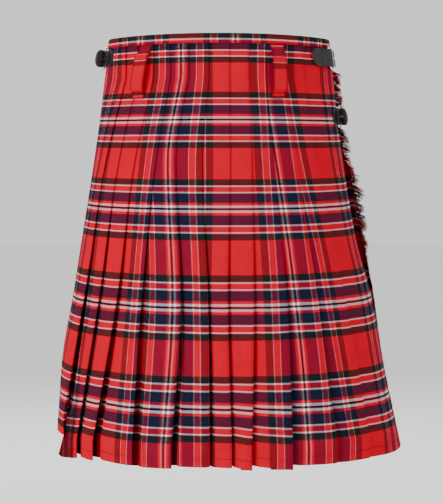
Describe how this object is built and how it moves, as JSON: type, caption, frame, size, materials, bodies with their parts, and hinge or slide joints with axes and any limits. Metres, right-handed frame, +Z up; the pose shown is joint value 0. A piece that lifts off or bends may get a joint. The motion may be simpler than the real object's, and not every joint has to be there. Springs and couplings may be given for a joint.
{
  "type": "kilt",
  "caption": "Pleated tartan kilt, empty but filled out as worn, with a flat front apron, a frayed edge, belt loops and leather straps.",
  "frame": {"origin": "middle of the waist, at the height of the waist straps, where the wearer's waist holds the kilt up", "axes": "+Z up, +Y to the pleated back, -Y to the flat front apron, -X to the wearer's right, where the frayed edge is"},
  "size_m": [0.4943, 0.369, 0.5992],
  "materials": {
    "tartan": "woven twill, red ground with green, navy, black and white stripes",
    "leather": "matt black",
    "metal": "polished nickel"
  },
  "bodies": {
    "root": {"pleated_back_left": "tartan", "pleated_back_right": "tartan", "over_apron": "tartan", "under_apron": "tartan", "waistband": "tartan", "apron_fringe": "tartan", "belt_loop_left": "tartan", "belt_loop_right": "tartan", "chape_waist_right": "leather", "chape_hip_right": "leather", "chape_waist_left": "leather", "strap_waist_right": "leather", "strap_hip_right": "leather", "strap_waist_left": "leather", "buckle_waist_right": "metal", "buckle_hip_right": "metal", "buckle_waist_left": "metal", "prong_waist_right": "metal", "prong_hip_right": "metal", "prong_waist_left": "metal"}
  },
  "joints": []
}
